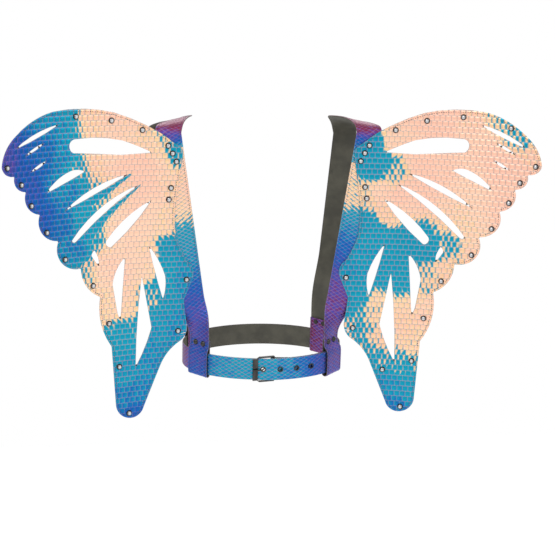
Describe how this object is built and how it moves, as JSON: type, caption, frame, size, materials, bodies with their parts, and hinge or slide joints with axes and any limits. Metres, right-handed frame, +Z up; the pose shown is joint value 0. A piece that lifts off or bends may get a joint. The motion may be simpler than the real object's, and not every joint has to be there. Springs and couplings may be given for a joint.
{
  "type": "fairy wing harness",
  "caption": "Pair of cut-out butterfly wings in embossed iridescent leather, folded on two shoulder straps that loop round a buckled waist belt.",
  "frame": {"origin": "middle of the waist opening, level with the sides of the belt", "axes": "+X to the wearer's right, +Y to the wearer's front, +Z up"},
  "size_m": [0.8122, 0.3123, 0.4858],
  "materials": {
    "wing_skin": "embossed scale grain with an iridescent coat that turns from peach to teal, blue and violet",
    "strap_skin": "embossed net grain with the same iridescent coat",
    "belt_skin": "embossed net grain with the same iridescent coat",
    "lining": "plain matt grey-brown split leather",
    "board": "matt dark stiffening board",
    "gunmetal": "polished dark gunmetal plating"
  },
  "bodies": {
    "harness": {"belt_face": "belt_skin", "belt_lining": "lining", "chape_rivet_caps": "gunmetal", "chape_rivet_backs": "gunmetal", "belt_eyelets": "gunmetal", "strap_right_face": "strap_skin", "strap_right_lining": "lining", "strap_left_face": "strap_skin", "strap_left_lining": "lining", "loop_rivet_caps": "gunmetal", "loop_rivet_backs": "gunmetal", "root_right_face": "wing_skin", "root_right_lining": "lining", "root_right_rivet_caps": "gunmetal", "root_right_rivet_backs": "gunmetal", "root_left_face": "wing_skin", "root_left_lining": "lining", "root_left_rivet_caps": "gunmetal", "root_left_rivet_backs": "gunmetal"},
    "wing_right": {"wing_right_face": "wing_skin", "wing_right_board": "board", "wing_right_lining": "lining", "wing_right_rivet_caps": "gunmetal", "wing_right_rivet_backs": "gunmetal"},
    "wing_left": {"wing_left_face": "wing_skin", "wing_left_board": "board", "wing_left_lining": "lining", "wing_left_rivet_caps": "gunmetal", "wing_left_rivet_backs": "gunmetal"},
    "buckle_frame": {"buckle_frame": "gunmetal"},
    "buckle_prong": {"buckle_prong": "gunmetal"}
  },
  "joints": [
    {"name": "wing_right_fold", "type": "hinge", "parent": "harness", "child": "wing_right", "pos_m": [0.15835, -0.08837, 0.2159], "axis": [-0.1432, 0.1668, -0.9755], "range_deg": [-20, 60], "stiffness_Nm_per_rad": 1},
    {"name": "wing_left_fold", "type": "hinge", "parent": "harness", "child": "wing_left", "pos_m": [-0.15835, -0.08837, 0.2159], "axis": [-0.1432, -0.1668, 0.9755], "range_deg": [-20, 60], "stiffness_Nm_per_rad": 1},
    {"name": "buckle_frame_swing", "type": "hinge", "parent": "harness", "child": "buckle_frame", "pos_m": [0.00648, -0.08974, -0.01582], "axis": [0, -0.1736, 0.9848], "range_deg": [0, 2]},
    {"name": "buckle_prong_lift", "type": "hinge", "parent": "buckle_frame", "child": "buckle_prong", "pos_m": [0.00648, -0.08974, -0.01582], "axis": [0, -0.1736, 0.9848], "range_deg": [0, 3]}
  ]
}
